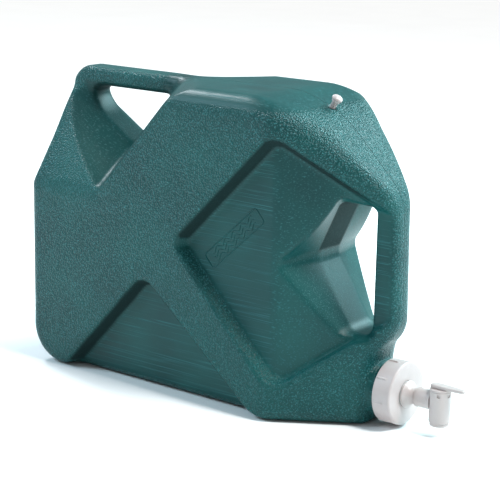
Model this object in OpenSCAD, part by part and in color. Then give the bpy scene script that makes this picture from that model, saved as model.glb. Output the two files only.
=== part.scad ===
// Water jerry can with a grip at each end, a screw cap and a turning tap.
// +X runs from the rear to the tap, +Z is up, and the two sides face -Y and +Y.
// The origin is on the flat base, midway between the rear wall and the front wall.

/* [Tank] */
// Overall height of the tank
tank_h = 375; // [320:1:450]
// Overall width of the tank
tank_w = 195; // [170:1:234]
// Length of the full-width part, from the rear wall to the crease
tank_l = 380; // [350:1:456]
// Thickness of the blown wall
wall = 2.2; // [2:0.1:4]
// Rounding of the long edges along the top
top_r = 17; // [10:1:24]
// Rounding of the edges round the base
base_r = 14; // [8:1:20]
// Rounding of the rear vertical edges
rear_r = 18; // [10:1:24]
// Rounding of the lower rear corner, seen from the side
heel_r = 48; // [30:1:60]
// Distance from the top down to where the rear grip's sides lean in
lean_drop = 141; // [130:1:150]

/* [Front] */
// Distance from the crease to the front of the front grip
nose_l = 120; // [110:1:144]
// Distance from the crease to the front wall behind the cap
wall_l = 98; // [90:1:104]
// Distance from the crease to the top of the front slope
ridge_l = 12; // [5:1:16]
// Distance from the top down to the foot of the front slope
slope_drop = 107; // [95:1:115]
// Height of the front wall behind the cap
front_wall_h = 86; // [84:1:92]
// Height of the underside of the front grip at its front
chin_h = 104; // [100:1:112]

/* [Grips] */
// Width of both grips
grip_w = 36; // [30:1:40]
// Depth of the front grip, front to back
post_d = 26; // [22:1:30]
// Height of the rear grip's section
bar_h = 24; // [20:1:28]
// Rounding of the grips' long edges
grip_r = 9; // [5:1:10]

/* [Side panels] */
// Depth of the sunk side panels
panel_d = 17; // [10:1:20]
// Rounding of the panels' corners
panel_r = 10; // [6:1:14]

/* [Filler neck and cap] */
// Height of the neck's axis above the base
neck_z = 40; // [40:0.5:42]
// Radius of the filler opening
mouth_r = 28; // [22:0.5:29]
// Radius over the neck's thread
neck_r = 34; // [33:0.1:34.4]
// How far the neck stands out of the front wall
neck_l = 30; // [26:0.5:36]
// Running clearance between the neck and the cap
cap_gap = 0.4; // [0.3:0.05:0.8]
// Radius over the cap's grip ribs
cap_r = 38.5; // [38:0.1:39.5]
// Height of each grip rib
rib_h = 1.2; // [0.6:0.1:1.6]
// Number of grip ribs
rib_n = 8; // [6:1:16]
// Length of the cap's skirt
cap_l = 23.5; // [20:0.5:26]
// Thickness of the cap's end
cap_top = 3; // [2:0.1:4]
// Thickness of the sealing ring in the cap
gasket_t = 2; // [1.5:0.1:3]

/* [Tap] */
// Outer radius of the tap's round body
valve_r = 12.5; // [12:0.1:15]
// Height of the tap's round body
valve_h = 37; // [34:0.5:44]
// Outer radius of the pipe that joins the cap to the tap's round body
pipe_r = 11.3; // [10:0.1:12]
// Radius of the water way
water_r = 5.5; // [4:0.1:6]
// Distance from the cap's face to the axis of the tap's round body
reach = 45; // [40:0.5:60]
// Radius of the flange that presses on the cap
flange_r = 16; // [15:0.5:20]
// Radius of the threaded tail that goes through the cap
tail_r = 10; // [9:0.1:11]
// Radius of the turning plug
plug_r = 9.5; // [9:0.1:10]
// Running clearance round the turning plug
plug_gap = 0.08; // [0.02:0.01:0.1]
// Length of the lever ahead of the plug's axis
lever_l = 32; // [24:1:40]
// Width of the lever
lever_w = 13; // [10:0.5:16]
// Thickness of the lever
lever_t = 5; // [3:0.1:7]
// Radius of each sealing ring's own section
ring_r = 0.9; // [0.7:0.05:1]

/* [Air vent] */
// Radius of the vent hole
vent_r = 4; // [3:0.1:5]
// Radius of the vent plug's head
vent_head_r = 6.7; // [6:0.1:8]
// Lean of the vent's axis forward from upright
vent_lean = 32; // [20:1:44]

/* [Hidden] */
$fn = 64;
arc_n = 6;                                // steps in each rounded corner of an outline
touch = 0.1;                              // gap left between faces that press together
over = 30;                                // how far a cutter runs past the surface
outlet_l = 4.5;                           // length of the outlet below the round body
washer_t = 1.5;
flange_t = 3;
nut_t = 5;
nut_r = 16;
tail_gap = 0.3;                           // clearance of the tail in the cap
stop_t = 2.2;                             // depth of the slot that stops the lever
stop_h = 4;                               // height of that slot
tab_w = 3;                                // width of the lever's stop
tab_a = 16;                               // angle taken up by the lever's stop
slot_a = 90 + tab_a + 2;                  // angle of the slot, for a quarter turn
ring_up = 5;                              // height of each ring above the edge it seals
rib_w = 3;                                // width of a grip rib
cap_edge = 2;                             // length of the cap's bevelled edge
waist_drop = 2;                           // how much thinner the pipe's waist is
waist_at = [9, 12, 14];                   // the waist's start, end and shoulder
disc_t = 1.5;                             // thickness of the lever's disc
vent_down = 9;                            // the vent's seat, below the top and ahead of the ridge
vent_sink = 2;                            // room round the vent plug's head
vent_stem = 12;                           // length of the vent plug's stem
half_w = tank_w / 2;
half_grip = grip_w / 2;
nose_x = tank_l + nose_l;
front_x = tank_l + wall_l;
ridge_x = tank_l + ridge_l;
post_x = nose_x - post_d;
lean_z = tank_h - lean_drop;
bar_z = tank_h - bar_h;
slope_z = tank_h - slope_drop;
floor_y = half_w - panel_d;
mid_x = front_x / 2;
mouth_x = front_x + neck_l;
seat_x = mouth_x + gasket_t + 2 * touch;  // inner face of the cap's end
face_x = seat_x + cap_top;                // outer face of the cap
skirt_x = face_x - cap_l;
hub_x = face_x + reach;
valve_z = neck_z - valve_h / 2 - outlet_l;  // lower end of the tap's round body
valve_top = valve_z + valve_h;
ring_zs = [valve_z + ring_up, neck_z + water_r + ring_up];

// Heights of the gaps and panels, as shares of the tank's height.
panel_low_z = 0.107 * tank_h;
panel_mid_z = 0.509 * tank_h;
panel_top_z = 0.901 * tank_h;
foot_top_z = 0.384 * tank_h;              // top of the triangle panel
notch_z = 0.499 * tank_h;                 // height of the front gap's point
rear_low_z = 0.757 * tank_h;              // lowest point of the rear gap
rear_leg_z = bar_z - 25;                  // top of the rear gap's sloping foot
front_low_z = chin_h + 2;
front_top_z = slope_z - 12;

// Lengthways places of the gaps and panels, as shares of the tank's length.
panel_tip_x = 0.626 * tank_l;
foot_tip_x = 0.505 * tank_l;
foot_rear_x = 0.153 * tank_l;
foot_front_x = 0.968 * tank_l;
rear_leg_x = 0.105 * tank_l;
rear_low_x = 0.284 * tank_l;
rear_top_x = 0.442 * tank_l;
rear_rim_x = 0.626 * tank_l;              // where the rear gap's rim meets the top
notch_x = tank_l + 16;
front_low_x = post_x - 26;
front_top_x = post_x - 47;

// An outline is a list of [x, y, rounding], anticlockwise.
function unit(v) = v / norm(v);
function left(v) = [-v[1], v[0]];
function edge(c, i) = let (n = len(c), a = c[i % n], b = c[(i + 1) % n]) unit([b[0] - a[0], b[1] - a[1]]);
function mitre(c, i) = let (n = len(c), p = left(edge(c, i + n - 1)), q = left(edge(c, i)))
    (p + q) / (1 + p * q);
function turn(c, i) = let (n = len(c), u = edge(c, i + n - 1), v = edge(c, i))
    atan2(u[0] * v[1] - u[1] * v[0], u * v);

// The outline moved inward by d, or outward where d is negative.
function shrink(c, d) = [for (i = [0 : len(c) - 1]) let (m = mitre(c, i))
    [c[i][0] + m[0] * d, c[i][1] + m[1] * d, max(1, c[i][2] - sign(turn(c, i)) * d)]];

// The outline's points, with an arc at each corner.
function arcs(c) = [for (i = [0 : len(c) - 1]) let (
        n = len(c), r = c[i][2], t = turn(c, i), s = sign(t), m = mitre(c, i) * s * r,
        o = [c[i][0], c[i][1]] + m, e = -s * left(edge(c, i + n - 1)), a = atan2(e[1], e[0]))
    for (k = [0 : arc_n]) o + r * [cos(a + t * k / arc_n), sin(a + t * k / arc_n)]];

module along_x(c, x0, x1) {
    translate([x0, 0, 0]) rotate([90, 0, 90]) linear_extrude(height = x1 - x0) polygon(arcs(c));
}
module along_y(c, h) {
    rotate([90, 0, 0]) linear_extrude(height = 2 * h, center = true) polygon(arcs(c));
}
module along_z(c, z0, z1) {
    translate([0, 0, z0]) linear_extrude(height = z1 - z0) polygon(arcs(c));
}
module ring_x(x0, x1, r_out, r_in) {
    translate([x0, 0, neck_z]) rotate([0, 90, 0]) difference() {
        cylinder(r = r_out, h = x1 - x0);
        translate([0, 0, -1]) cylinder(r = r_in, h = x1 - x0 + 2);
    }
}

// Outlines of the tank seen from the side, from above and from the rear.
tank_side = [
    [0, 0, heel_r], [front_x, 0, 10], [front_x, front_wall_h, 12], [nose_x, chin_h, 16],
    [nose_x, slope_z, 14], [ridge_x, tank_h, 40], [rear_top_x + 20, tank_h, 2],
    [rear_low_x - 2, rear_low_z, 2], [rear_low_x + 4, lean_z, 2], [0, lean_z, 2]];
tank_plan = [
    [0, -half_w, rear_r], [tank_l, -half_w, 14], [nose_x, -half_grip, grip_r], [nose_x, half_grip, grip_r],
    [tank_l, half_w, 14], [0, half_w, rear_r]];
tank_end = [
    [-half_w, 0, base_r], [half_w, 0, base_r], [half_w, tank_h, top_r], [-half_w, tank_h, top_r]];
rear_side = [
    [0, 0, heel_r], [rear_rim_x - 8, 0, 4], [rear_rim_x - 8, tank_h, 4], [0, tank_h, 26]];
rear_end = [
    [-half_w, 0, base_r], [half_w, 0, base_r], [half_w, lean_z, 12], [half_grip, bar_z, 12],
    [half_grip, tank_h, grip_r], [-half_grip, tank_h, grip_r], [-half_grip, bar_z, 12],
    [-half_w, lean_z, 12]];

// The diamond panel, which wraps round the crease, and the triangle panel at the base.
diamond = [
    [panel_tip_x, panel_mid_z, panel_r], [tank_l + 6, panel_low_z, panel_r], [nose_x - 8, chin_h + 17, 14],
    [post_x + 10, slope_z - 6, 10], [tank_l + 4, panel_top_z, panel_r]];
triangle = [
    [foot_rear_x, -over, panel_r], [foot_front_x, -over, panel_r], [foot_tip_x, foot_top_z, panel_r]];
panel_floor = [
    [-over, -floor_y, 1], [tank_l, -floor_y, 6], [post_x, -half_grip, 1], [nose_x + over, -half_grip, 1],
    [nose_x + over, half_grip, 1], [post_x, half_grip, 1], [tank_l, floor_y, 6], [-over, floor_y, 1]];

// The gap through each grip, seen from the side, and its flared mouth at each side.
rear_gap = [
    [rear_leg_x - 4, bar_z, 10], [rear_leg_x, rear_leg_z, 10], [rear_low_x, rear_low_z, 8],
    [rear_top_x, bar_z, 8]];
rear_inner = [
    [rear_leg_x - 7, tank_h + over, 1], [rear_leg_x - 2, rear_leg_z + 1, 1], [rear_low_x - 1, rear_low_z, 1],
    [rear_top_x, bar_z, 1], [rear_top_x + 60, bar_z + 67, 1]];
rear_outer = [
    [-20, tank_h + over, 1], [-20, lean_z + 86, 1], [rear_low_x + 9, lean_z, 1], [rear_rim_x, tank_h - 5, 1],
    [rear_rim_x + 47, tank_h + 47, 1]];
front_gap = [
    [post_x, front_low_z, 9], [post_x, front_top_z, 9], [front_top_x, front_top_z, 6], [notch_x, notch_z, 8],
    [front_low_x, front_low_z, 9]];
front_inner = [for (p = front_gap) [p[0], p[1], 1]];
front_outer = [
    [post_x + 22, front_low_z - 14, 1], [post_x + 22, slope_z + 22, 1], [post_x - 6, slope_z + 22, 1],
    [tank_l, notch_z + 1, 1], [post_x - 36, front_low_z - 14, 1]];

// A flare from one outline to another with as many corners, on both sides of the mid-plane.
module flare(inner, outer, y0, y1, d) {
    a = shrink(inner, -d);
    b = shrink(outer, -d);
    n = len(a);
    points = concat([for (p = a) [p[0], y0, p[1]]], [for (p = b) [p[0], y1, p[1]]]);
    ends = [for (k = [1 : n - 2]) each [[0, k + 1, k], [n, n + k, n + k + 1]]];
    sides = [for (k = [0 : n - 1]) let (m = (k + 1) % n) each [[k, m, n + m], [k, n + m, n + k]]];
    faces = concat(ends, sides);
    polyhedron(points, faces);
    mirror([0, 1, 0]) polyhedron(points, faces);
}

// Everything that is taken out of the tank's outer form, grown by d for the inside wall.
module hollows(d) {
    difference() {
        union() {
            along_y(shrink(diamond, -d), half_w + over);
            along_y(shrink(triangle, -d), half_w + over);
        }
        along_z(shrink(panel_floor, d), -2 * over, tank_h + over);
    }
    along_y(shrink(rear_gap, -d), half_grip + 3 * d);
    along_y(shrink(front_gap, -d), half_grip + 2 + 3 * d);
    flare(rear_inner, rear_outer, half_grip - d / 2, half_w + 3, d);
    flare(front_inner, front_outer, half_grip + 1 - d / 2, floor_y + 8, d);
}

module tank_form(d) {
    intersection() {
        along_y(shrink(tank_side, d), half_w + 1);
        along_z(shrink(tank_plan, d), -1, tank_h + 1);
        along_x(shrink(tank_end, d), -1, nose_x + 1);
    }
    intersection() {
        along_y(shrink(rear_side, d), half_w + 1);
        along_z(shrink(tank_plan, d), -1, tank_h + 1);
        along_x(shrink(rear_end, d), -1, nose_x + 1);
    }
}

module at_vent() {
    translate([ridge_x + vent_down, 0, tank_h - vent_down]) rotate([0, vent_lean, 0]) children();
}

module can_body() {
    color("#1f6a66") translate([-mid_x, 0, 0]) difference() {
        union() {
            difference() {
                tank_form(0);
                hollows(0);
            }
            translate([front_x - over, 0, neck_z]) rotate([0, 90, 0])
                cylinder(r = neck_r, h = over + neck_l);
        }
        difference() {
            tank_form(wall);
            hollows(wall);
        }
        translate([front_x - over, 0, neck_z]) rotate([0, 90, 0])
            cylinder(r = mouth_r, h = 2 * over + neck_l);
        at_vent() translate([0, 0, -over]) cylinder(r = vent_r, h = 2 * over);
        at_vent() cylinder(r = vent_head_r + vent_sink, h = over);
    }
}

// A round solid turned about the neck's axis, from points given as [radius, x].
module turned_x(points) {
    translate([-mid_x, 0, neck_z]) rotate([0, 90, 0]) rotate_extrude() polygon(points);
}

// The cap: a skirt over the neck, an end with a hole for the tap's tail, and grip ribs.
module screw_cap() {
    skirt_r = cap_r - rib_h;
    bore_r = neck_r + cap_gap;
    hole_r = tail_r + tail_gap;
    color("white") {
        turned_x([
            [bore_r, skirt_x], [skirt_r, skirt_x], [skirt_r, face_x - cap_edge], [skirt_r - rib_h, face_x],
            [hole_r, face_x], [hole_r, seat_x], [bore_r, seat_x]]);
        for (k = [0 : rib_n - 1]) translate([skirt_x + 1 - mid_x, 0, neck_z]) rotate([k * 360 / rib_n, 0, 0])
            translate([0, -rib_w / 2, skirt_r - 1]) cube([cap_l - 2 * cap_edge, rib_w, rib_h + 1 - touch]);
    }
}

module cap_gasket() {
    color("gainsboro") translate([-mid_x, 0, 0])
        ring_x(mouth_x + touch, mouth_x + touch + gasket_t, neck_r - 0.5, nut_r + 6);
}

// The tap's body: tail, flange, waisted pipe and the upright round body with its stepped bore.
module spigot_body() {
    way_x = seat_x - nut_t - 3;
    base_x = face_x + washer_t;
    waist_r = pipe_r - waist_drop;
    color("white") difference() {
        union() {
            turned_x([
                [0, way_x], [tail_r, way_x], [tail_r, base_x], [flange_r, base_x],
                [flange_r, base_x + flange_t],
                [pipe_r + 1.5, base_x + flange_t], [waist_r, base_x + waist_at[0]],
                [waist_r, base_x + waist_at[1]], [pipe_r, base_x + waist_at[2]], [pipe_r, hub_x - 4],
                [0, hub_x - 4]]);
            translate([hub_x - mid_x, 0, valve_z]) cylinder(r = valve_r, h = valve_h);
        }
        translate([way_x - 1 - mid_x, 0, neck_z]) rotate([0, 90, 0])
            cylinder(r = water_r, h = hub_x - way_x + 1);
        translate([hub_x - mid_x, 0, valve_z - 1]) cylinder(r = plug_r + plug_gap, h = valve_h + 2);
        translate([hub_x - mid_x, 0, valve_top - stop_h]) difference() {
            linear_extrude(height = stop_h + 1)
                polygon([[0, 0], for (k = [-3 : 0]) 2 * valve_r * [cos(k * slot_a / 3), sin(k * slot_a / 3)]]);
            translate([0, 0, -1]) cylinder(r = valve_r - stop_t, h = stop_h + 3);
        }
    }
}

module spigot_washer() {
    color("gainsboro") translate([-mid_x, 0, 0])
        ring_x(face_x + touch, face_x + washer_t - touch, flange_r - 1, tail_r + tail_gap);
}

module spigot_nut() {
    color("white") translate([-mid_x + seat_x - nut_t - touch, 0, neck_z]) rotate([0, 90, 0]) difference() {
        cylinder(r = nut_r, h = nut_t, $fn = 6);
        translate([0, 0, -1]) cylinder(r = tail_r + touch / 2, h = nut_t + 2);
    }
}

// The plug that turns in the tap's body: outlet below, side port, lever and stop on top.
module tap_lever() {
    groove_d = 2 * ring_r + 2 * touch;
    foot_z = valve_z - outlet_l;
    tab_gap = 0.3;
    way_top = neck_z + water_r + 2;
    color("white") translate([hub_x - mid_x, 0, 0]) difference() {
        union() {
            translate([0, 0, foot_z]) cylinder(r = plug_r + 1.5, h = outlet_l - touch);
            translate([0, 0, foot_z]) cylinder(r = plug_r, h = valve_top - foot_z + 1);
            translate([0, 0, valve_top + touch]) cylinder(r = valve_r, h = disc_t);
            translate([-valve_r, -lever_w / 2, valve_top + disc_t])
                cube([valve_r + lever_l, lever_w, lever_t]);
            rotate([0, 0, -slot_a + tab_a / 2 + 1])
                translate([valve_r - stop_t + tab_gap, -tab_w / 2, valve_top - stop_h + tab_gap + touch])
                cube([stop_t - 2 * tab_gap, tab_w, stop_h]);
        }
        translate([0, 0, foot_z - 1]) cylinder(r = water_r, h = way_top - foot_z + 1);
        translate([0, 0, neck_z]) rotate([-90, 0, 0]) cylinder(r = water_r - 0.5, h = valve_r);
        for (z = ring_zs) translate([0, 0, z - groove_d / 2]) difference() {
            cylinder(r = plug_r + 1, h = groove_d);
            translate([0, 0, -1]) cylinder(r = plug_r - 2 * ring_r + plug_gap - touch, h = groove_d + 2);
        }
    }
}

module plug_ring(z) {
    color("dimgray") translate([hub_x - mid_x, 0, z]) rotate_extrude()
        translate([plug_r - ring_r + plug_gap / 2, 0]) circle(r = ring_r, $fn = 24);
}
module upper_plug_ring() {
    plug_ring(ring_zs[1]);
}
module lower_plug_ring() {
    plug_ring(ring_zs[0]);
}

// The push-in plug of the air vent: head, neck and a stem in the hole.
module vent_plug() {
    color("white") translate([-mid_x, 0, 0]) at_vent() {
        translate([0, 0, 3.5]) rotate_extrude() intersection() {
            translate([0, -1]) scale([1, 0.7]) circle(r = vent_head_r);
            square([vent_head_r, vent_head_r]);
        }
        translate([0, 0, touch]) cylinder(r = vent_r + 1.2, h = 4);
        translate([0, 0, -vent_stem]) cylinder(r = vent_r - tail_gap, h = vent_stem + 2);
    }
}

can_body();
screw_cap();
cap_gasket();
spigot_body();
spigot_washer();
spigot_nut();
tap_lever();
upper_plug_ring();
lower_plug_ring();
vent_plug();
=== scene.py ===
# %% [markdown]
# # A water jerry can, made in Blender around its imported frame
# The can is a hollow tank blown from one tube of plastic, with a grip at each end, sunk panels
# in its sides, and a neck at the foot of its front. A screw cap closes the neck, and a turning
# tap goes through the cap. Each cell below makes one of these pieces or finishes, in metres,
# in the frame that the CAD model was packed in.

# %% Load the frame
import math

import bpy
import numpy as np
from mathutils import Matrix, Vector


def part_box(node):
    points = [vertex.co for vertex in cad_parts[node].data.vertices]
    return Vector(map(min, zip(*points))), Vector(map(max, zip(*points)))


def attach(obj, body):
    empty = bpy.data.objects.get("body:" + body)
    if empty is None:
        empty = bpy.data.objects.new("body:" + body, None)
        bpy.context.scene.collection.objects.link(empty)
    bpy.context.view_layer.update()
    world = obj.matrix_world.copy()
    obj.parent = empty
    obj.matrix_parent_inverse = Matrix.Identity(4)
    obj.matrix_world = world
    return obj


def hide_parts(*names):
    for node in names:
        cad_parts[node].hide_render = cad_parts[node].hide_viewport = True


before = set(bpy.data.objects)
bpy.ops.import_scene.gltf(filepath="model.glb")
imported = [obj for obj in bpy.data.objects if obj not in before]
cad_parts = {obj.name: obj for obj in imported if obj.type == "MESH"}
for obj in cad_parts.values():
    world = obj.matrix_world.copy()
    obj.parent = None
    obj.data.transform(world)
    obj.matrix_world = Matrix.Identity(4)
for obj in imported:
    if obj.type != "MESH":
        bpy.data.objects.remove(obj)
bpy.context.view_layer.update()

MM = 0.001
lo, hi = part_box("can_body")
rear_x = lo.x / MM
half_w = (hi.y - lo.y) / 2 / MM
tank_h = (hi.z - lo.z) / MM
print("tank: rear wall at x = %.1f mm, %.1f mm wide, %.1f mm high" % (rear_x, 2 * half_w, tank_h))

# %% [markdown]
# ## The camera
# A long lens, level with the upper half of the can and a little to the right of its near side,
# so that the side shows in full and the tapered front turns away. The lens is long because a
# catalogue picture of a can is taken from a few metres away, which keeps upright edges upright.

# %% Camera
from mathutils import Matrix, Vector

CAMERA_AT = Vector((1.1898, -1.4737, 0.6241))
CAMERA_TURN = math.radians(37.91)
CAMERA_DIP = math.radians(13.62)
CAMERA_ROLL = math.radians(1.14)
LENS = 113.7

level = math.cos(CAMERA_DIP)
back = Vector((math.sin(CAMERA_TURN) * level, -math.cos(CAMERA_TURN) * level, math.sin(CAMERA_DIP)))
right = Vector((math.cos(CAMERA_TURN), math.sin(CAMERA_TURN), 0))
up = back.cross(right)
right, up = (math.cos(CAMERA_ROLL) * right + math.sin(CAMERA_ROLL) * up,
             math.cos(CAMERA_ROLL) * up - math.sin(CAMERA_ROLL) * right)
camera = bpy.data.objects.new("camera", bpy.data.cameras.new("camera"))
camera.data.lens = LENS
camera.data.sensor_width = 36
camera.matrix_world = Matrix.Translation(CAMERA_AT) @ Matrix((right, up, back)).transposed().to_4x4()
bpy.context.scene.collection.objects.link(camera)
bpy.context.scene.camera = camera
print("camera:", [round(v, 3) for v in CAMERA_AT], "lens", LENS)

# %% [markdown]
# ## Surfaces from numpy
# Every piece is computed as whole arrays of points and then handed to a mesh in one call. A grid
# of rows and columns becomes quads by taking each point with its neighbours; where a grid closes
# on itself, as round a pipe, its last row joins its first.

# %% Mesh helpers
def new_piece(name, points, faces, material, body, replaces=()):
    """A smooth mesh object that rides on a body, from points in metres (n by 3) and faces
    (m by 4 or m by 3)."""
    mesh = bpy.data.meshes.new(name)
    corners = faces.shape[1]
    mesh.vertices.add(len(points))
    mesh.vertices.foreach_set("co", points.astype(np.float32).ravel())
    mesh.loops.add(faces.size)
    mesh.loops.foreach_set("vertex_index", faces.astype(np.int32).ravel())
    mesh.polygons.add(len(faces))
    mesh.polygons.foreach_set("loop_start", np.arange(len(faces), dtype=np.int32) * corners)
    mesh.update(calc_edges=True)
    mesh.polygons.foreach_set("use_smooth", np.ones(len(faces), bool))
    mesh.materials.append(material)
    piece = bpy.data.objects.new(name, mesh)
    bpy.context.scene.collection.objects.link(piece)
    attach(piece, body)
    if replaces:
        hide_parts(*replaces)
    print("%s: %d points, %d faces" % (name, len(points), len(faces)))
    return piece


def grid_faces(rows, columns, close_rows=False, close_columns=False):
    """The quads of a grid of rows by columns points, numbered row by row."""
    i = np.arange(rows if close_rows else rows - 1)
    j = np.arange(columns if close_columns else columns - 1)
    i, j = np.meshgrid(i, j, indexing="ij")
    k, m = (i + 1) % rows, (j + 1) % columns
    quads = np.stack([i * columns + j, i * columns + m, k * columns + m, k * columns + j], -1)
    return quads.reshape(-1, 4)

# %% [markdown]
# ## The tank as one blended solid
# A blown tank has no straight seams: its flat faces run into each other through soft edges, and
# its hollows are pressed into it. So it is described as a field, the signed distance from its
# skin, negative inside. A flat face is a plane's distance. Two faces meet in a rounded edge when
# their distances are joined by a rounded maximum, and a grip joins the tank with a fillet by a
# rounded minimum. Subdivided boxes could be pushed into the same shape, but each fillet would
# need its own loops of edges, where here it is one radius.

# %% Rounded joins
def rounded_and(a, b, r):
    """What is inside both a and b: the larger distance, rounded to radius r where both are near."""
    return np.minimum(np.maximum(a, b), -r) + np.hypot(np.maximum(a + r, 0), np.maximum(b + r, 0))


def rounded_or(a, b, r):
    """What is inside a or b, with a fillet of radius r between them."""
    return -rounded_and(-a, -b, r)


def line(x, z, p, q):
    """Distance from the line p to q in the plane of x and z, negative on its left."""
    dx, dz = q[0] - p[0], q[1] - p[1]
    return ((x - p[0]) * dz - (z - p[1]) * dx) / math.hypot(dx, dz)


def outline(x, z, corners, r):
    """Distance from a convex outline given anticlockwise, with its corners rounded to r."""
    d = line(x, z, corners[-1], corners[0])
    for p, q in zip(corners[:-1], corners[1:]):
        d = rounded_and(d, line(x, z, p, q), r)
    return d


def past(t, soft):
    """How far t is past zero, easing in over the length soft."""
    return 0.5 * (t + np.sqrt(t * t + soft * soft))


def step(t, a, b):
    """Zero below a, one above b, smooth between."""
    s = np.clip((t - a) / (b - a), 0, 1)
    return s * s * (3 - 2 * s)

# %% The tank's sizes, in millimetres from the rear wall, the mid-plane and the base
crease_x = 380.0
nose_x = 500.0
wall_x = 478.0
chin_z = (85.0, 106.0)
ridge_x = 392.0
post_x = 474.0
slope_z = 268.0
grip_y = 18.0
bar_z = 351.0
lean_z = 234.0
panel_y = half_w - 17
neck_z = 40.0
neck_r = 33
mouth_r = 27
neck_x = (440, 485)
mouth_x = 430
lean_end_x = 116
bar_end_x = 215
seat_r = 9.2
vent_hole_r = 4
vent_hole_l = 12
VENT_SEAT = (ridge_x + 9, tank_h - 9)
VENT_LEAN = math.radians(32)
DIAMOND = [(238, 191), (387, 37), (520, 143), (520, 236), (384, 338)]
TRIANGLE = [(31, -30), (403, -30), (192, 144)]

# %% [markdown]
# The rim of a sunk panel is where the outline meets the flat side. The walls lean outwards, as a
# blow mould needs, so the outline shrinks with depth. The two grips are openings that run straight
# through the middle of the can and then flare towards both sides.

# %% The tank's faces, panels and pockets
def side_faces(x, y):
    """The flat side, and ahead of the crease the taper towards the front grip."""
    return rounded_and(y - half_w, -line(x, y, (crease_x, half_w), (nose_x, grip_y)), 5)


def panel_faces(x, y):
    """The floor of the sunk panels: flat, tapered ahead of the crease, then the grip's own side."""
    taper = -line(x, y, (crease_x, panel_y), (post_x, grip_y))
    return np.minimum(rounded_and(y - panel_y, taper, 4), y - grip_y)


def panels(x, y, z):
    """The sunk panels: inside an outline that shrinks with depth, and outside the floor."""
    lean = -0.42 * side_faces(x, y)
    shape = np.minimum(outline(x, z, DIAMOND, 18), outline(x, z, TRIANGLE, 20))
    brow = line(x, z, DIAMOND[3], DIAMOND[4]) + 2.1 * lean
    shape = np.where(z > 200, rounded_and(shape + lean, brow, 8), shape + lean)
    return rounded_and(shape, -panel_faces(x, y), 3.5)


def rear_pocket(x, y, z):
    """The opening under the rear grip: straight through the middle, flared towards both sides."""
    out = past(y - grip_y, 3)
    foot = -line(x, z, (40, 326), (108, 284)) + 36 * np.tanh(out / 38) ** 1.25
    shoulder = -line(x, z, (108, 284), (169, 352)) + 0.497 * out
    leg = (x - 38 + 5 * out) / 2
    return rounded_and(rounded_and(-foot, -shoulder, 7), -leg, 12)


def front_pocket(x, y, z):
    """The opening behind the front grip: a sideways V with its point at the crease."""
    out = past(y - 20, 1.5)
    over = 0.45 + 0.00865 * out
    under = 0.66 - 0.0018 * out
    apex_x = 396 - 0.262 * out
    upper = (x - apex_x - over * (z - 187)) / np.hypot(1, over)
    lower = (x - apex_x - under * (187 - z)) / np.hypot(1, under)
    top = 256 + 0.5 * out - z
    bottom = z - 106 + 0.3 * out
    behind = post_x - x + 1.3 * out
    d = rounded_and(-upper, -lower, 8)
    d = rounded_and(d, rounded_and(-top, -behind, 9), 7)
    return rounded_and(d, -bottom, 9)


def vent_at(x, y, z):
    """Distance from the vent's axis, and height along it above its seat."""
    dx, dz = x - VENT_SEAT[0], z - VENT_SEAT[1]
    along = dx * math.sin(VENT_LEAN) + dz * math.cos(VENT_LEAN)
    across = dx * math.cos(VENT_LEAN) - dz * math.sin(VENT_LEAN)
    return np.hypot(across, y), along


def side_profile(x, z):
    """The can's outline from the side: rear, base, front wall, chin, nose, slope and top."""
    slope = -line(x, z, (ridge_x, tank_h), (nose_x, slope_z))
    chin = line(x, z, (wall_x, chin_z[0]), (nose_x, chin_z[1]))
    nose = x - nose_x - 0.033 * np.clip(slope_z - z, 0, 170)
    front = rounded_and(nose, rounded_or(x - wall_x, chin, 10), 14)
    roof = rounded_and(z - tank_h, slope, 40)
    d = rounded_and(rounded_and(roof, front, 14), -z, 10)
    return rounded_and(d, -x, 48 - 20 * step(z, 150, 250))


def edge_radius(x, z):
    """How round the long edges are: most along the top, least on the grips."""
    top = 12 * step(z, 300, 345) * step(x, 170, 250)
    front = 4 * step(x, 440, 480) * step(z, 90, 120)
    grips = front + 4 * step(z, 280, 330) * (1 - step(x, 150, 200))
    return 14 + top * (1 - step(x, 420, 480)) - grips


def tank_field(x, y, z):
    """Signed distance from the tank's skin: its sides, less the panels and pockets, and then
    the grip, the outline from the side, the neck and the vent."""
    out = np.abs(y)
    d = rounded_and(side_faces(x, out), -panels(x, out, z), 4)
    lean = line(out, z, (half_w, lean_z), (grip_y, bar_z))
    d = rounded_and(d, np.minimum(lean, lean_end_x - x), 7)
    d = rounded_and(d, -rear_pocket(x, out, z), 3.5)
    bar = rounded_and(rounded_and(out - grip_y, bar_z - z, 9), x - bar_end_x, 3)
    d = rounded_or(d, bar, 10)
    d = rounded_and(d, -front_pocket(x, out, z), 3.5)
    d = rounded_and(d, side_profile(x, z), edge_radius(x, z))
    rim = np.hypot(y, z - neck_z)
    d = rounded_or(d, rounded_and(rim - neck_r, np.maximum(x - neck_x[1], neck_x[0] - x), 1), 4)
    hub = vent_at(x, y, z)
    d = rounded_and(d, -np.maximum(hub[0] - seat_r, -hub[1]), 1.5)
    d = rounded_and(d, -np.maximum(hub[0] - vent_hole_r, -hub[1] - vent_hole_l), 0.6)
    return rounded_and(d, -np.maximum(rim - mouth_r, mouth_x - x), 1)

# %% [markdown]
# The field becomes a mesh by surface nets. The space around the can is cut into small cells. Each
# cell that the skin passes through gets one point, at the mean of the places where the skin
# crosses the cell's edges, and each crossed edge of the grid joins the four cells around it into a
# quad. The points then slide along the field's slope onto the skin, which makes the flats flat.

# %% From field to mesh
CELL = 2.8
NET_LOW = (-5, -100, -5)
NET_HIGH = (506, 100, 380)


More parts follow.
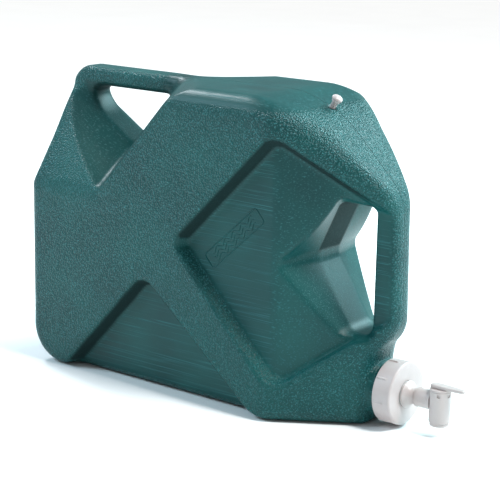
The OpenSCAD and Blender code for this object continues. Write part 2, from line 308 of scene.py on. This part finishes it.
def surface_net(field, low, high, cell):
    """Points (n by 3) and outward quads (m by 4) of the field's zero level inside a box."""
    axes = [np.arange(a, b + cell, cell) for a, b in zip(low, high)]
    values = field(*np.meshgrid(*axes, indexing="ij"))
    inside = values < 0
    count = np.zeros(tuple(n - 1 for n in inside.shape), np.int8)
    corners = [(i, j, k) for i in (0, 1) for j in (0, 1) for k in (0, 1)]
    for c in corners:
        count += inside[tuple(slice(o, n - 1 + o) for o, n in zip(c, inside.shape))]
    cells = np.argwhere((count > 0) & (count < 8))
    total = np.zeros((len(cells), 3))
    hits = np.zeros(len(cells))
    for c in corners:
        for axis in range(3):
            if c[axis]:
                continue
            far = np.array(c)
            far[axis] = 1
            a = values[tuple((cells + c).T)]
            b = values[tuple((cells + far).T)]
            crossed = (a < 0) != (b < 0)
            t = np.where(crossed, a / np.where(crossed, a - b, 1), 0)
            spot = cells + c + t[:, None] * (far - c)
            total += np.where(crossed[:, None], spot, 0)
            hits += crossed
    points = np.array(low) + cell * total / hits[:, None]
    number = np.full(count.shape, -1)
    number[tuple(cells.T)] = np.arange(len(cells))
    quads = []
    for axis in range(3):
        u, v = (axis + 1) % 3, (axis + 2) % 3
        near = np.take(inside, np.arange(inside.shape[axis] - 1), axis)
        away = np.take(inside, np.arange(1, inside.shape[axis]), axis)
        edges = np.argwhere(near != away)
        edges = edges[(edges[:, u] > 0) & (edges[:, v] > 0)]
        leaves = near[tuple(edges.T)]
        ring = []
        for du, dv in ((-1, -1), (0, -1), (0, 0), (-1, 0)):
            step_to = np.zeros(3, int)
            step_to[u], step_to[v] = du, dv
            ring.append(number[tuple((edges + step_to).T)])
        quad = np.stack(ring, -1)
        quad[~leaves] = quad[~leaves][:, ::-1]
        quads.append(quad)
    return points, np.concatenate(quads)


def slope_of(field, points, reach=0.05):
    """The field's slope at each point, from its values a little to each side."""
    rows = []
    for axis in range(3):
        offset = np.zeros(3)
        offset[axis] = reach
        rows.append(field(*(points + offset).T) - field(*(points - offset).T))
    return np.stack(rows, -1) / (2 * reach)


def settle(field, points, rounds=4, most=1.2):
    """Moves points down the field's slope onto its zero level, at most a little each time."""
    for _ in range(rounds):
        slope = slope_of(field, points)
        size = np.maximum((slope ** 2).sum(-1), 0.2)
        points = points - np.clip(field(*points.T) / size, -most, most)[:, None] * slope
    return points


def to_frame(points):
    """From millimetres measured from the rear wall to metres in the shared frame."""
    return (points + np.array([rear_x, 0, 0])) * MM


skin, quads = surface_net(tank_field, NET_LOW, NET_HIGH, CELL)
skin = settle(tank_field, skin)
print("tank skin: %d points, %d triangles" % (len(skin), 2 * len(quads)))
print("lowest %s, highest %s" % (skin.min(0).round(2), skin.max(0).round(2)))

# %% [markdown]
# ## Where the grain and the painted shade are
# The mould is sand blasted on the outer faces, so they come out pebbled, and left smooth in the
# sunk panels, in the grips' openings and across the top, where labels and hands go. The walls of
# the panels that face upwards are pebbled too. Each point of the skin carries how pebbled it is,
# and also a painted shade: how far its colour is darkened where it faces downwards or lies inside
# the grips' openings, in place of the shadow that falls there.

# %% Grain mask
def grain_mask(points):
    """Three masks, blended over about a millimetre: pebbled skin, painted shade on walls that
    face downwards and in the grips' openings, and skin outside the grips."""
    x, y, z = points.T
    out = np.abs(y)
    normal = slope_of(tank_field, points)
    normal /= np.linalg.norm(normal, axis=-1)[:, None] + 1e-9
    in_panel = 1 - step(panels(x, out, z), 0.2, 1.6)
    ledge = in_panel * step(normal[:, 2], 0.25, 0.5) * step(out, 40, 60) * step(z, 5, 12)
    grip_top = step(z, 352, 358) * (1 - step(x, 150, 170))
    in_rear = (1 - step(rear_pocket(x, out, z), 0.2, 2.0)) * (1 - grip_top)
    in_front = 1 - step(front_pocket(x, out, z), 0.2, 2.0)
    behind_ridge = 1 - step(x, 393, 398)
    top = step(z, 358, 363) * step(x, 165, 190) * behind_ridge
    top = np.maximum(top, step(normal[:, 2], 0.85, 0.95) * step(z, 370, 372) * behind_ridge)
    neck = step(x, 479, 480) * (1 - step(np.hypot(y, z - neck_z), 38, 40))
    smooth = np.max([in_panel, in_rear, in_front, top, neck], axis=0)
    over = step(-normal[:, 2], 0.05, 0.5)
    not_floor = 1 - step(np.abs(normal[:, 1]), 0.75, 0.95)
    # Painted shade: downward-facing panel walls, the front grip's tunnel and the whole rear opening get a
    # share of darkening that the colour will carry.
    shaded = in_panel * step(-normal[:, 2], 0.2, 0.5) * not_floor * step(out, 20, 40)
    tunnel = in_front * over * (1 - step(out, 20, 24))
    shaded = np.max([shaded, tunnel, 0.9 * in_rear * over, 0.45 * in_rear], axis=0)
    outside = 1 - np.maximum(in_front, in_rear)
    masks = (np.maximum(1 - smooth, ledge), shaded, outside)
    return [mask.astype(np.float32) for mask in masks]


grain, shaded, outside = grain_mask(skin)
print("pebbled share of the skin: %.0f%%" % (100 * grain.mean()))

# %% [markdown]
# ## Plastics
# The tank is dyed polyethylene. On the pebbled faces a cellular pattern about two millimetres
# across stands up and each bead has its own small gloss, and each bead's tip is painted lighter
# as a painted highlight; the smooth faces have fine scratches that run lengthways from stacking,
# paler as wear. Walls that face downwards and the grips' openings are darkened in colour as
# painted shade. All patterns are in Object coordinates, so they stay on the can at their real size.

# %% Node helpers
def material(name):
    """An empty node material, its tree and its Principled shader."""
    made = bpy.data.materials.new(name)
    made.use_nodes = True
    tree = made.node_tree
    return made, tree, tree.nodes["Principled BSDF"]


def node(tree, kind, inputs=None, **settings):
    """A node with its settings and inputs; an input is a value or another node's output."""
    made = tree.nodes.new(kind)
    for key, value in settings.items():
        setattr(made, key, value)
    for key, value in (inputs or {}).items():
        if isinstance(value, bpy.types.NodeSocket):
            tree.links.new(value, made.inputs[key])
        else:
            made.inputs[key].default_value = value
    return made


def sums(tree, operation, a, b):
    """The output of a Math node on a and b."""
    return node(tree, "ShaderNodeMath", {0: a, 1: b}, operation=operation).outputs[0]


def stretch(tree, scale):
    """Object coordinates, scaled along each axis."""
    where = node(tree, "ShaderNodeTexCoord").outputs["Object"]
    return node(tree, "ShaderNodeMapping", {0: where, "Scale": scale}).outputs[0]


def spread(tree, value, a, b, c, d):
    """Value carried from the range a to b onto the range c to d."""
    return node(tree, "ShaderNodeMapRange", {0: value, 1: a, 2: b, 3: c, 4: d}).outputs[0]


def blend(tree, share, a, b):
    """The colour that is a where share is zero and b where it is one."""
    return node(tree, "ShaderNodeMix", {0: share, 6: a, 7: b}, data_type="RGBA").outputs[2]

# %% The tank's plastic
BEAD = 0.0018
GREEN_DEEP = (0.003, 0.044, 0.045, 1)
GREEN = (0.005, 0.072, 0.069, 1)
# Pale green for real wear along the scratches and for a painted highlight on the tip of each bead.
GREEN_WORN_AND_GLINT = (0.05, 0.21, 0.22, 1)
# Near-black green for painted shade.
GREEN_PAINTED_SHADE = (0.003, 0.012, 0.012, 1)
BUMP_DEPTH = 0.0016
SEAM_NEAR, SEAM_FAR = 0.0003, 0.0008


def tank_plastic(name, pebbled):
    """Dyed polyethylene: beads where pebbled, lengthways scratches elsewhere, and a mould line
    in the mid-plane, with painted shade from the skin's shade attribute and a painted highlight on
    the tip of each bead. Where pebbled is None, the skin's own grain mask says which."""
    made, tree, shader = material(name)
    if pebbled is None:
        mask = node(tree, "ShaderNodeAttribute", attribute_name="grain").outputs["Fac"]
    else:
        mask = node(tree, "ShaderNodeValue").outputs[0]
        mask.default_value = pebbled
    place = stretch(tree, (1, 1, 1))
    beads = node(tree, "ShaderNodeTexVoronoi", {"Vector": place, "Scale": 1 / BEAD},
                 feature="SMOOTH_F1").outputs[0]
    rough = node(tree, "ShaderNodeTexNoise", {"Vector": place, "Scale": 900.0, "Detail": 3.0}).outputs[0]
    cloud = node(tree, "ShaderNodeTexNoise", {"Vector": place, "Scale": 11.0, "Detail": 4.0}).outputs[0]
    lines = node(tree, "ShaderNodeTexNoise",
                 {"Vector": stretch(tree, (6, 500, 500)), "Scale": 1.6, "Detail": 3.0})
    lines = spread(tree, lines.outputs[0], 0.56, 0.72, 0.0, 1.0)
    bead_height = spread(tree, beads, 0.1, 0.7, 1.0, 0.0)
    bead_height = sums(tree, "ADD", bead_height, sums(tree, "MULTIPLY", rough, 0.5))
    bead_height = sums(tree, "MULTIPLY", bead_height, mask)
    smooth = sums(tree, "SUBTRACT", 1.0, mask)
    scratch = sums(tree, "MULTIPLY", lines, smooth)
    axis = node(tree, "ShaderNodeSeparateXYZ", {0: place})
    off_middle = sums(tree, "ABSOLUTE", axis.outputs[1], 0.0)
    seam = spread(tree, off_middle, SEAM_NEAR, SEAM_FAR, 1.0, 0.0)
    parting = node(tree, "ShaderNodeAttribute", attribute_name="parting").outputs["Fac"]
    seam = sums(tree, "MULTIPLY", seam, parting)
    height = sums(tree, "MULTIPLY", bead_height, 0.55)
    height = sums(tree, "SUBTRACT", height, sums(tree, "MULTIPLY", scratch, 0.10))
    height = sums(tree, "ADD", height, seam)
    bump = node(tree, "ShaderNodeBump", {"Strength": 1.0, "Distance": BUMP_DEPTH, "Height": height})
    tree.links.new(bump.outputs[0], shader.inputs["Normal"])
    tone = blend(tree, spread(tree, cloud, 0.3, 0.7, 0.0, 1.0), GREEN_DEEP, GREEN)
    # The tip of each bead is painted lighter as a painted highlight; scratches are paler as real wear.
    painted_tip_glint = sums(tree, "MULTIPLY", spread(tree, bead_height, 0.75, 1.3, 0.0, 0.75), mask)
    marks = sums(tree, "MAXIMUM", painted_tip_glint, sums(tree, "MULTIPLY", scratch, 0.5))
    tone = blend(tree, marks, tone, GREEN_WORN_AND_GLINT)
    # Painted shade: the colour is darkened towards a near-black green by the skin's painted shade mask, and
    # made rough there so it reflects little.
    shade = node(tree, "ShaderNodeAttribute", attribute_name="painted_shade").outputs["Fac"]
    shade = sums(tree, "MULTIPLY", shade, 0.85)
    tone = blend(tree, shade, tone, GREEN_PAINTED_SHADE)
    tree.links.new(tone, shader.inputs["Base Color"])
    gloss = spread(tree, mask, 0.0, 1.0, 0.38, 0.34)
    gloss = sums(tree, "ADD", gloss, sums(tree, "MULTIPLY", scratch, 0.18))
    gloss = sums(tree, "MAXIMUM", gloss, shade)
    tree.links.new(gloss, shader.inputs["Roughness"])
    shader.inputs["Specular IOR Level"].default_value = 0.22
    return made


tank_green = tank_plastic("tank_plastic", None)
tank = new_piece("tank_skin", to_frame(skin), quads, tank_green, "can", replaces=("can_body",))
# The skin carries its grain, its painted shade and where the mould line shows.
for name, values in (("grain", grain), ("painted_shade", shaded), ("parting", outside)):
    tank.data.attributes.new(name, "FLOAT", "POINT").data.foreach_set("value", values)

# %% White plastic and rubber
def moulded_plastic(name, colour, rough):
    """Moulded plastic or rubber: a faint orange peel, flow clouds in its tint, and handling
    marks in its gloss."""
    made, tree, shader = material(name)
    place = stretch(tree, (1, 1, 1))
    peel = node(tree, "ShaderNodeTexNoise", {"Vector": place, "Scale": 420.0, "Detail": 2.0}).outputs[0]
    cloud = node(tree, "ShaderNodeTexNoise", {"Vector": place, "Scale": 55.0, "Detail": 3.0}).outputs[0]
    marks = node(tree, "ShaderNodeTexNoise",
                 {"Vector": stretch(tree, (30, 300, 300)), "Scale": 2.0}).outputs[0]
    bump = node(tree, "ShaderNodeBump", {"Strength": 0.25, "Distance": 0.0002, "Height": peel})
    tree.links.new(bump.outputs[0], shader.inputs["Normal"])
    dark = tuple(0.93 * c for c in colour[:3]) + (1,)
    tone = blend(tree, spread(tree, cloud, 0.35, 0.7, 0.0, 1.0), colour, dark)
    tree.links.new(tone, shader.inputs["Base Color"])
    gloss = spread(tree, marks, 0.3, 0.8, rough - 0.06, rough + 0.12)
    tree.links.new(gloss, shader.inputs["Roughness"])
    shader.inputs["Subsurface Weight"].default_value = 0.12
    shader.inputs["Subsurface Radius"].default_value = (0.004, 0.004, 0.0035)
    return made


cap_white = moulded_plastic("cap_plastic", (0.50, 0.43, 0.42, 1), 0.40)
tap_white = moulded_plastic("tap_plastic", (0.50, 0.43, 0.415, 1), 0.36)
seal_grey = moulded_plastic("seal_rubber", (0.62, 0.62, 0.60, 1), 0.62)
ring_black = moulded_plastic("ring_rubber", (0.02, 0.02, 0.02, 1), 0.5)
for name, finish in (("cap_gasket", seal_grey), ("spigot_washer", seal_grey), ("spigot_nut", tap_white),
                     ("upper_plug_ring", ring_black), ("lower_plug_ring", ring_black)):
    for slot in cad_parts[name].material_slots:
        slot.material = finish
    print("finish on", name)

# %% [markdown]
# ## Turned pieces
# The neck, the cap and the tap are round. Each is a closed profile carried round an axis, and the
# radius may change with the angle as well: that is how a thread, a row of ribs or a notch is made
# without cutting anything. Corners of the profiles are rounded, as a mould's edges are.

# %% Profiles and turning
def soft_profile(corners, steps=5):
    """A closed outline of [a, b, radius] corners, each replaced by an arc of that radius that
    touches both sides."""
    points = []
    count = len(corners)
    for i, (a, b, r) in enumerate(corners):
        here = np.array([a, b], float)
        before = np.array(corners[i - 1][:2], float) - here
        after = np.array(corners[(i + 1) % count][:2], float) - here
        u, v = before / np.linalg.norm(before), after / np.linalg.norm(after)
        half = math.acos(np.clip(u @ v, -1, 1)) / 2
        if r <= 0 or half > 1.55:
            points.append(here[None])
            continue
        reach = r / math.tan(half)
        middle = here + (u + v) / np.linalg.norm(u + v) * (r / math.sin(half))
        p, q = here + u * reach - middle, here + v * reach - middle
        t = np.linspace(0, 1, steps + 1)[:, None]
        arc = (1 - t) * p + t * q
        points.append(middle + arc / np.linalg.norm(arc, axis=1)[:, None] * r)
    return np.concatenate(points)


def refine(profile, most):
    """Extra points along the long sides of a closed profile, so that no side is longer than most."""
    ends = np.roll(profile, -1, axis=0)
    parts = []
    for p, q in zip(profile, ends):
        n = max(1, int(np.ceil(np.linalg.norm(q - p) / most)))
        parts.append(p + (q - p) * (np.arange(n) / n)[:, None])
    return np.concatenate(parts)


def turned(profile, axis, centre, swell=None, turns=96):
    """Points and quads of a closed profile of [radius, place] carried round an axis; swell
    changes radius and place by angle."""
    angle = np.arange(turns) * 2 * math.pi / turns
    r = np.repeat(profile[:, :1], turns, 1)
    h = np.repeat(profile[:, 1:], turns, 1)
    a = np.repeat(angle[None], len(profile), 0)
    if swell:
        r, h = swell(r, h, a)
    if axis == "x":
        points = np.stack([h, centre[1] + r * np.cos(a), centre[2] + r * np.sin(a)], -1)
    else:
        points = np.stack([centre[0] + r * np.cos(a), centre[1] + r * np.sin(a), h], -1)
    return points.reshape(-1, 3), grid_faces(len(profile), turns, close_rows=True, close_columns=True)


def close_up(piece):
    """Merges doubled points at poles and turns every face outwards."""
    import bmesh
    work = bmesh.new()
    work.from_mesh(piece.data)
    bmesh.ops.remove_doubles(work, verts=work.verts, dist=2e-6)
    bmesh.ops.dissolve_degenerate(work, edges=work.edges, dist=1e-7)
    bmesh.ops.recalc_face_normals(work, faces=work.faces)
    work.to_mesh(piece.data)
    work.free()
    piece.data.polygons.foreach_set("use_smooth", np.ones(len(piece.data.polygons), bool))
    piece.data.set_sharp_from_angle(angle=math.radians(40))
    return piece

# %% [markdown]
# The neck carries a coarse right-hand thread, one turn to 6 mm, and the cap's thread lies in its
# furrows. A thread is one formula: the height of its ridge depends only on how far along the neck
# a point is, less the angle round it. A turn of the cap moves both by the same amount, so the two
# threads stay clear of each other all the way off.

# %% Neck and cap
PITCH = 6.0
NECK_AXIS = (0, 0, neck_z)
MOUTH_X = 508.0
FACE_X = 513.2
SKIRT_X = 489.7
CAP_SEAT_X = 510.2
SKIRT_R = 37.2
RIB_COUNT = 8


def ridge(x, angle, shift):
    """One on the crest of the thread and zero in its furrow, for a place along the neck and an angle."""
    phase = (x / PITCH - angle / (2 * math.pi) + shift) % 1
    return step(0.27 - np.abs(phase - 0.5), 0, 0.14)


def neck_thread(r, x, a):
    """The neck's outside swells from its root to its crest along the thread, which fades in at
    both ends."""
    fade = step(x, 488, 491) * (1 - step(x, 502, 505.5))
    return np.where(r > 32, r + 1.5 * fade * ridge(x, a, 0.0), r), x


def cap_relief(r, x, a):
    """The cap's bore narrows along the thread, and its skirt has eight thin grip ribs."""
    fade = step(x, 492, 494.5) * (1 - step(x, 504, 507))
    r = np.where((r > 33.5) & (r < 35) & (x < 509), r - 1.5 * fade * ridge(x, a, 0.5), r)
    off = np.abs(((a * RIB_COUNT / (2 * math.pi) + 0.32) % 1) - 0.5) * 2 * math.pi / RIB_COUNT * SKIRT_R
    along = step(x, SKIRT_X + 0.8, SKIRT_X + 2.2) * (1 - step(x, 503, 505))
    ribs = (1 - step(off, 0.55, 1.25)) * along
    return np.where(r > 36, r + 1.15 * ribs, r), x


NECK_END = MOUTH_X - 0.3
neck_profile = refine(soft_profile([
    (28, 474, 0.4), (32.4, 474, 0.4), (32.4, NECK_END, 1.2), (28, NECK_END, 1.2)]), 0.9)
points, quads = turned(neck_profile, "x", NECK_AXIS, neck_thread, 144)
neck_green = tank_plastic("neck_plastic", 0.0)
close_up(new_piece("neck", to_frame(points), quads, neck_green, "can"))

cap_profile = refine(soft_profile([
    (34.4, SKIRT_X, 0.5), (37.2, SKIRT_X, 0.9), (37.2, FACE_X, 2.4), (15.5, FACE_X, 0.6),
    (15.0, FACE_X - 0.5, 0.2), (10.3, FACE_X - 0.5, 0.3), (10.3, CAP_SEAT_X, 0.3),
    (34.4, CAP_SEAT_X, 0.8)]), 0.9)
points, quads = turned(cap_profile, "x", NECK_AXIS, cap_relief, 256)
close_up(new_piece("cap_shell", to_frame(points), quads, cap_white, "cap",
                   replaces=("screw_cap",)))

# %% [markdown]
# ## The tap
# Its body is a bell on the cap's face that narrows to a waist and opens again into a barrel. The
# barrel meets an upright sleeve, and the plug that turns in the sleeve carries the flat lever on
# top and the outlet's collar below. Two notches near the sleeve's rim hold the plug's stops.

# %% Tap body
HUB_X = 558.2
VALVE_LOW, VALVE_TOP = 17.0, 54.0
HUB = (HUB_X, 0, 0)
SLEEVE_R = 12.5
NOTCHES = (-70, -6)

pipe_profile = refine(soft_profile([
    (5.5, 502.2, 0.3), (9.95, 502.2, 0.5), (9.95, 513.5, 0.1), (10.2, 514.7, 0.1),
    (16, 514.7, 0.5), (16, 516.2, 0.6), (12.8, 519.5, 6), (9.3, 524.5, 9),
    (9.6, 527.5, 3), (11.4, 529.2, 1.6), (11.4, 549, 0.2), (5.5, 549, 0.2)]), 1.2)
points, quads = turned(pipe_profile, "x", NECK_AXIS, None, 96)
close_up(new_piece("tap_pipe", to_frame(points), quads, tap_white, "spigot",
                   replaces=("spigot_body",)))


def sleeve_relief(r, z, a):
    """Two shallow notches in the sleeve's outside, just under its rim."""
    deep = 0
    for middle in NOTCHES:
        off = np.abs((a - math.radians(middle) + math.pi) % (2 * math.pi) - math.pi) * SLEEVE_R
        deep = deep + (1 - step(off, 1.5, 1.9)) * step(z, 48.3, 48.7) * (1 - step(z, 51.6, 52.0))
    return np.where(r > 11, r - 1.7 * deep, r), z


sleeve_profile = refine(soft_profile([
    (9.6, VALVE_LOW, 0.3), (SLEEVE_R, VALVE_LOW, 0.9), (SLEEVE_R, VALVE_TOP, 0.7),
    (9.6, VALVE_TOP, 0.3)]), 0.4)
points, quads = turned(sleeve_profile, "z", HUB, sleeve_relief, 160)
close_up(new_piece("tap_sleeve", to_frame(points), quads, tap_white, "spigot"))

# %% Plug and lever
def open_turned(profile, axis_at, turns=96):
    """A profile of [radius, height] that starts and ends on an upright axis, carried round it,
    with both poles closed."""
    angle = np.arange(turns) * 2 * math.pi / turns
    r, h = profile[:, :1], profile[:, 1:]
    points = np.stack([axis_at[0] + r * np.cos(angle), axis_at[1] + r * np.sin(angle), h + 0 * angle], -1)
    return points.reshape(-1, 3), grid_faces(len(profile), turns, close_columns=True)


plug_corners = [(0, 47.5, 0), (5.4, 47.5, 0.4), (5.4, 12.6, 0.4), (11.2, 12.6, 0.8), (11.2, 16.7, 0.5),
                (9.5, 16.8, 0.2), (9.5, 54.15, 0.2), (12.4, 54.15, 0.3), (12.4, 56.4, 0.7), (0, 56.4, 0)]
points, quads = open_turned(soft_profile(plug_corners), HUB)
close_up(new_piece("tap_plug", to_frame(points), quads, tap_white, "tap",
                   replaces=("tap_lever",)))


LEVER_BACK = 12.3
LEVER_LENGTH = 44
LEVER_Z = 58.6


def lever_shape(rows=60, columns=40):
    """A flat bar along the plug's top: at each place s its section is a rounded box, whose
    width swells and whose ends round off."""
    s = 0.5 - 0.5 * np.cos(np.linspace(0, math.pi, rows))[:, None]
    a = (np.arange(columns) * 2 * math.pi / columns)[None]
    end = np.clip(1 - np.abs(2 * s - 1) ** 14, 0, 1) ** 0.5
    wide = (5.1 + 1.3 * np.cos((s - 0.25) * math.pi)) * end
    thick = (2.5 - 0.6 * s) * np.clip(1 - np.abs(2 * s - 1) ** 26, 0, 1) ** 0.5
    y = wide * np.sign(np.cos(a)) * np.abs(np.cos(a)) ** 0.45
    z = thick * np.sign(np.sin(a)) * np.abs(np.sin(a)) ** 0.45
    x = HUB_X - LEVER_BACK + LEVER_LENGTH * s + 0 * a
    z = LEVER_Z - 0.2 * s + z
    return np.stack([x, y + 0 * s, z], -1).reshape(-1, 3), grid_faces(rows, columns, close_columns=True)


points, quads = lever_shape()
close_up(new_piece("lever", to_frame(points), quads, tap_white, "tap"))

# %% Vent plug
def vent_points(profile, turns=64):
    """A profile of [radius, height] carried round the vent's leaning axis."""
    points, quads = open_turned(profile, (0, 0), turns)
    x = VENT_SEAT[0] + points[:, 0] * math.cos(VENT_LEAN) + points[:, 2] * math.sin(VENT_LEAN)
    z = VENT_SEAT[1] - points[:, 0] * math.sin(VENT_LEAN) + points[:, 2] * math.cos(VENT_LEAN)
    return np.stack([x, points[:, 1], z], -1), quads


dome = np.linspace(0, math.pi / 2, 9)[:-1, None]
dome = np.hstack([6.6 * np.cos(dome), 4.2 + 3.6 * np.sin(dome)])
stem = soft_profile([
    (0, -12, 0), (2.9, -12, 0.5), (3.6, -9, 0.5), (3.6, 0.1, 0.1), (5.2, 0.1, 0.3),
    (4.6, 3.2, 0.3), (6.6, 3.4, 0.2)])
points, quads = vent_points(np.vstack([stem, dome, [[0, 7.8]]]))
close_up(new_piece("vent_cap", to_frame(points), quads, cap_white, "vent",
                   replaces=("vent_plug",)))

# %% [markdown]
# ## The mark on the panel
# A moulded frame stands on the floor of the near panel, at the slope of the panel's side. It holds
# nothing but a few waves, for water. Each line is a thin round bead, half sunk in the panel.

# %% Moulded mark
MARK_AT = (320.0, 206.0)
MARK_TURN = math.radians(42)


def bead(path, thick, closed, ring=8):
    """Points and quads of a round bead of radius thick along a flat path of [across, up] places
    on the panel. An open bead thins to nothing over two points at each end."""
    before = np.roll(path, 1, 0) if closed else np.vstack([path[:1], path[:-1]])
    after = np.roll(path, -1, 0) if closed else np.vstack([path[1:], path[-1:]])
    along = after - before
    along /= np.linalg.norm(along, axis=1)[:, None]
    side = np.stack([-along[:, 1], along[:, 0]], -1)
    a = np.arange(ring) * 2 * math.pi / ring
    place = np.arange(len(path))
    taper = np.clip(np.minimum(place, place[::-1]) / 2, 0.02, 1)
    size = thick * (np.ones(len(path)) if closed else taper)
    flat = path[:, None] + side[:, None] * (size[:, None] * np.cos(a))[..., None]
    out = size[:, None] * np.sin(a)
    c, s = math.cos(MARK_TURN), math.sin(MARK_TURN)
    x = MARK_AT[0] + flat[..., 0] * c - flat[..., 1] * s
    z = MARK_AT[1] + flat[..., 0] * s + flat[..., 1] * c
    points = np.stack([x, -panel_y - out, z], -1)
    return points.reshape(-1, 3), grid_faces(len(path), ring, close_rows=closed, close_columns=True)


t = np.linspace(-1, 1, 90)
frame_line = refine(soft_profile([(-50, -10, 4), (50, -10, 4), (50, 10, 4), (-50, 10, 4)], 6), 2.5)
waves = [np.stack([40 * t, shift + 2.2 * np.sin(t * math.pi * 5)], -1) for shift in (-5, 0, 5)]
parts = [bead(frame_line, 0.8, True)] + [bead(w, 0.6, False) for w in waves]
starts = np.cumsum([0] + [len(p) for p, _ in parts[:-1]])
mark_points = np.vstack([p for p, _ in parts])
mark_quads = np.vstack([q + s for (_, q), s in zip(parts, starts)])
mark_green = tank_plastic("mark_plastic", 0.0)
close_up(new_piece("panel_mark", to_frame(mark_points), mark_quads, mark_green, "can"))

# %% [markdown]
# ## Floor and light
# The floor is a plain pale sheet that runs back far enough to lose its edge. A soft sun stands
# ahead of the can. Four cool soft boxes give the sheen on the slope, in the front grip, along the
# top edges and on the leaning rear faces, and the pale room around fills the near side.

# %% Floor
def pale_floor():
    """White studio paper, with the faintest mottle."""
    made, tree, shader = material("studio_paper")
    cloud = node(tree, "ShaderNodeTexNoise", {"Vector": stretch(tree, (1, 1, 1)), "Scale": 5.0}).outputs[0]
    tone = blend(tree, cloud, (0.92, 0.92, 0.92, 1), (0.96, 0.96, 0.96, 1))
    tree.links.new(tone, shader.inputs["Base Color"])
    shader.inputs["Roughness"].default_value = 0.9
    shader.inputs["Specular IOR Level"].default_value = 0.1
    return made


FLOOR_HALF = 14.0
FLOOR_Z = -0.0005
floor_corners = [(i * FLOOR_HALF, j * FLOOR_HALF, FLOOR_Z) for i, j in ((-1, -1), (1, -1), (1, 1), (-1, 1))]
floor_mesh = bpy.data.meshes.new("floor")
floor_mesh.from_pydata(floor_corners, [], [(0, 1, 2, 3)])
print("floor: %.0f m across" % (2 * FLOOR_HALF))
floor_mesh.materials.append(pale_floor())
floor = bpy.data.objects.new("floor", floor_mesh)
bpy.context.scene.collection.objects.link(floor)

# %% Lights
def softbox(name, at, aim, size, power, colour):
    """A square area light at a place, turned to face a point."""
    lamp = bpy.data.objects.new(name, bpy.data.lights.new(name, "AREA"))
    lamp.data.size = size
    lamp.data.energy = power
    lamp.data.color = colour
    lamp.location = at
    lamp.rotation_euler = (Vector(aim) - Vector(at)).to_track_quat("-Z", "Y").to_euler()
    bpy.context.scene.collection.objects.link(lamp)


sun = bpy.data.objects.new("sun", bpy.data.lights.new("sun", "SUN"))
sun.data.energy = 2.6
sun.data.angle = math.radians(12)
sun.data.color = (1.0, 0.99, 0.97)
sun.rotation_euler = Vector((0.5, 0.05, 0.86)).to_track_quat("Z", "Y").to_euler()
bpy.context.scene.collection.objects.link(sun)
softbox("slope_sheen", (0.75, 1.9, 1.7), (0.2, 0, 0.3), 1.3, 90, (0.6, 0.95, 1.0))
softbox("pocket_sheen", (1.95, 1.25, 1.75), (0.2, 0, 0.2), 1.0, 40, (0.7, 0.9, 1.0))
softbox("edge_sheen", (-1.5, 0.4, 1.95), (0, 0, 0.35), 0.5, 30, (0.85, 0.94, 1.0))
softbox("lean_sheen", (-1.45, -1.2, 1.6), (-0.1, 0, 0.3), 0.9, 30, (0.6, 0.85, 1.0))
world = bpy.data.worlds.new("studio")
world.use_nodes = True
room = world.node_tree.nodes["Background"]
room.inputs["Color"].default_value = (0.95, 0.98, 1.0, 1)
room.inputs["Strength"].default_value = 0.33
bpy.context.scene.world = world
print("lights:", [light.name for light in bpy.data.lights])
bpy.context.scene.view_settings.view_transform = "Standard"
